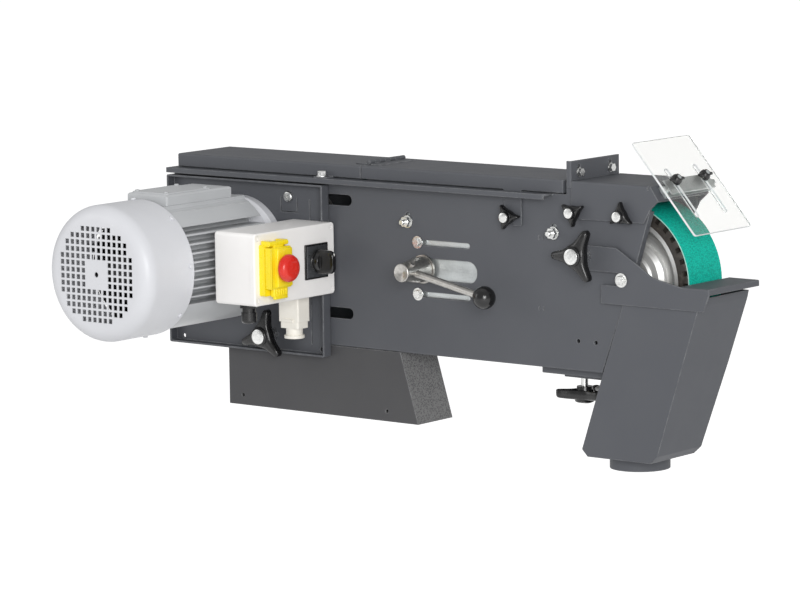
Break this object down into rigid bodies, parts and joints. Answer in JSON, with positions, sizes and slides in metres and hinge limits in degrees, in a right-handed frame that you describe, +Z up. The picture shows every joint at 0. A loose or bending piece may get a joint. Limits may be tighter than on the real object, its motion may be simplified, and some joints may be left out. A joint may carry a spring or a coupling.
{
  "type": "belt grinder",
  "caption": "Stationary contact-wheel belt grinder with a slung motor, hinged lid, dust chute, clear eye shield and switch box",
  "frame": {"origin": "centre of the four stand bolt holes, on the underside of the base", "axes": "+X along the belt to the contact wheel, +Y away from the motor and the user, +Z up"},
  "size_m": [0.9094, 0.431, 0.434],
  "materials": {
    "anthracite_paint": "satin powder coat, slightly worn on its edges",
    "motor_grey": "light grey enamel over a casting",
    "zinc_plate": "galvanised, bluish and cloudy",
    "bright_fasteners": "bright zinc",
    "turned_steel": "turned and polished",
    "inner_steel": "plain steel laminations and rings",
    "wheel_aluminium": "turned, with brushed rings",
    "wheel_rubber": "matte, serrated",
    "belt_grain": "fine abrasive grain on cloth, teal green",
    "black_plastic": "fine moulded grain",
    "box_plastic": "smooth moulding",
    "yellow_plastic": "smooth moulding",
    "red_plastic": "smooth moulding",
    "green_plastic": "smooth moulding",
    "clear_plastic": "clear sheet with polished edges"
  },
  "bodies": {
    "frame": {"main_plate": "anthracite_paint", "housing_shell": "anthracite_paint", "back_cover": "anthracite_paint", "cover_posts": "bright_fasteners", "base_pedestal": "anthracite_paint", "rear_lid": "anthracite_paint", "lid_hinge": "anthracite_paint", "side_screws": "bright_fasteners", "front_hood": "anthracite_paint", "stop_bracket": "bright_fasteners", "abrasive_belt": "belt_grain", "wheel_axle": "turned_steel", "bottom_bracket": "anthracite_paint", "shield_hinge": "zinc_plate"},
    "platen": {"platen": "zinc_plate", "platen_studs": "bright_fasteners"},
    "work_stop": {"work_stop": "anthracite_paint"},
    "front_lid": {"front_lid": "anthracite_paint"},
    "contact_wheel": {"wheel_hub": "wheel_aluminium", "wheel_tyre": "wheel_rubber", "wheel_bearings": "turned_steel"},
    "chute": {"chute_side": "anthracite_paint", "chute_box": "anthracite_paint", "chute_nuts": "bright_fasteners"},
    "motor_carriage": {"motor_tray": "anthracite_paint", "motor_screws": "motor_grey", "end_shields": "motor_grey", "stator_frame": "motor_grey", "stator_core": "inner_steel", "motor_bearings": "turned_steel", "fan_cover": "motor_grey", "terminal_box": "motor_grey", "slide_plate": "zinc_plate", "guide_screws": "bright_fasteners", "switch_box": "box_plastic", "switch_lid": "box_plastic", "estop_base": "yellow_plastic", "rotary_plate": "black_plastic", "cable_gland": "black_plastic", "power_inlet": "box_plastic"},
    "rotor": {"motor_rotor": "inner_steel", "cooling_fan": "black_plastic", "drive_wheel": "wheel_aluminium"},
    "lever": {"lever_arm": "turned_steel", "lever_ball": "black_plastic"},
    "estop_flap": {"estop_flap": "yellow_plastic"},
    "estop_button": {"estop_button": "red_plastic"},
    "stop_button": {"stop_button": "red_plastic"},
    "start_button": {"start_button": "green_plastic"},
    "rotary_handle": {"rotary_handle": "black_plastic"},
    "chute_knob": {"chute_knob": "black_plastic"},
    "motor_knob": {"motor_knob": "black_plastic"},
    "bracket_knob": {"bracket_knob": "black_plastic"},
    "lid_knob": {"lid_knob": "black_plastic"},
    "hood_knob_rear": {"hood_knob_rear": "black_plastic"},
    "hood_knob_front": {"hood_knob_front": "black_plastic"},
    "shield_bracket": {"shield_bracket": "zinc_plate"},
    "eye_shield": {"eye_shield": "clear_plastic"},
    "wing_nut_near": {"wing_nut_near": "black_plastic"},
    "wing_nut_far": {"wing_nut_far": "black_plastic"}
  },
  "joints": [
    {"name": "carriage_slide", "type": "slide", "parent": "frame", "child": "motor_carriage", "axis": [1, 0, 0], "range_m": [0, 0.075]},
    {"name": "rotor_spin", "type": "hinge", "parent": "motor_carriage", "child": "rotor", "pos_m": [-0.137, -0.038, 0.2168], "axis": [0, 1, 0], "continuous": true},
    {"name": "contact_wheel_spin", "type": "hinge", "parent": "frame", "child": "contact_wheel", "pos_m": [0.493, -0.038, 0.2168], "axis": [0, 1, 0], "continuous": true},
    {"name": "lever_turn", "type": "hinge", "parent": "motor_carriage", "child": "lever", "pos_m": [0.1818, -0.038, 0.2138], "axis": [0, -1, 0], "range_deg": [0, 90]},
    {"name": "platen_lower", "type": "slide", "parent": "frame", "child": "platen", "axis": [0, 0, 1], "range_m": [-0.005, 0]},
    {"name": "work_stop_height", "type": "slide", "parent": "frame", "child": "work_stop", "axis": [0, 0, 1], "range_m": [-0.003, 0]},
    {"name": "front_lid_open", "type": "hinge", "parent": "frame", "child": "front_lid", "pos_m": [0.077, 0.016, 0.3507], "axis": [0, -1, 0], "range_deg": [0, 110]},
    {"name": "chute_slide", "type": "slide", "parent": "frame", "child": "chute", "axis": [1, 0, 0], "range_m": [0, 0.03]},
    {"name": "shield_tilt", "type": "hinge", "parent": "frame", "child": "shield_bracket", "pos_m": [0.5669, 0.02675, 0.3408], "axis": [0, -1, 0], "range_deg": [-15, 20]},
    {"name": "shield_slide", "type": "slide", "parent": "shield_bracket", "child": "eye_shield", "axis": [0.6525, 0, -0.7578], "range_m": [-0.05, 0.015]},
    {"name": "estop_flap_lift", "type": "hinge", "parent": "motor_carriage", "child": "estop_flap", "pos_m": [0.0435, -0.1785, 0.2545], "axis": [0, -1, 0], "range_deg": [0, 95]},
    {"name": "estop_press", "type": "slide", "parent": "estop_flap", "child": "estop_button", "axis": [-1, 0, 0], "range_m": [0, 0.004], "stiffness_N_per_m": 800},
    {"name": "stop_press", "type": "slide", "parent": "motor_carriage", "child": "stop_button", "axis": [-1, 0, 0], "range_m": [0, 0.002], "stiffness_N_per_m": 500},
    {"name": "start_press", "type": "slide", "parent": "motor_carriage", "child": "start_button", "axis": [-1, 0, 0], "range_m": [0, 0.002], "stiffness_N_per_m": 500},
    {"name": "rotary_turn", "type": "hinge", "parent": "motor_carriage", "child": "rotary_handle", "pos_m": [0.035, -0.082, 0.2188], "axis": [1, 0, 0], "range_deg": [-60, 60]},
    {"name": "chute_knob_turn", "type": "hinge", "parent": "chute", "child": "chute_knob", "pos_m": [0.4535, -0.058, 0.2525], "axis": [0, -1, 0], "range_deg": [0, 360]},
    {"name": "motor_knob_turn", "type": "hinge", "parent": "motor_carriage", "child": "motor_knob", "pos_m": [-0.084, -0.058, 0.1045], "axis": [0, -1, 0], "range_deg": [0, 360]},
    {"name": "bracket_knob_turn", "type": "hinge", "parent": "chute", "child": "bracket_knob", "pos_m": [0.418, 0.002, 0.06], "axis": [0, 0, -1], "range_deg": [0, 360]},
    {"name": "lid_knob_turn", "type": "hinge", "parent": "frame", "child": "lid_knob", "pos_m": [0.33, -0.048, 0.294], "axis": [0, -1, 0], "range_deg": [0, 360]},
    {"name": "hood_knob_rear_turn", "type": "hinge", "parent": "frame", "child": "hood_knob_rear", "pos_m": [0.4365, -0.048, 0.3063], "axis": [0, -1, 0], "range_deg": [0, 360]},
    {"name": "hood_knob_front_turn", "type": "hinge", "parent": "frame", "child": "hood_knob_front", "pos_m": [0.513, -0.048, 0.3063], "axis": [0, -1, 0], "range_deg": [0, 360]},
    {"name": "wing_nut_near_turn", "type": "hinge", "parent": "shield_bracket", "child": "wing_nut_near", "pos_m": [0.56735, -0.005, 0.34984], "axis": [0.7578, 0, 0.6525], "range_deg": [0, 360]},
    {"name": "wing_nut_far_turn", "type": "hinge", "parent": "shield_bracket", "child": "wing_nut_far", "pos_m": [0.56735, 0.0595, 0.34984], "axis": [0.7578, 0, 0.6525], "range_deg": [0, 360]}
  ],
  "couplings": [
    {"joint": "contact_wheel_spin", "follows": "rotor_spin", "ratio": 1}
  ]
}
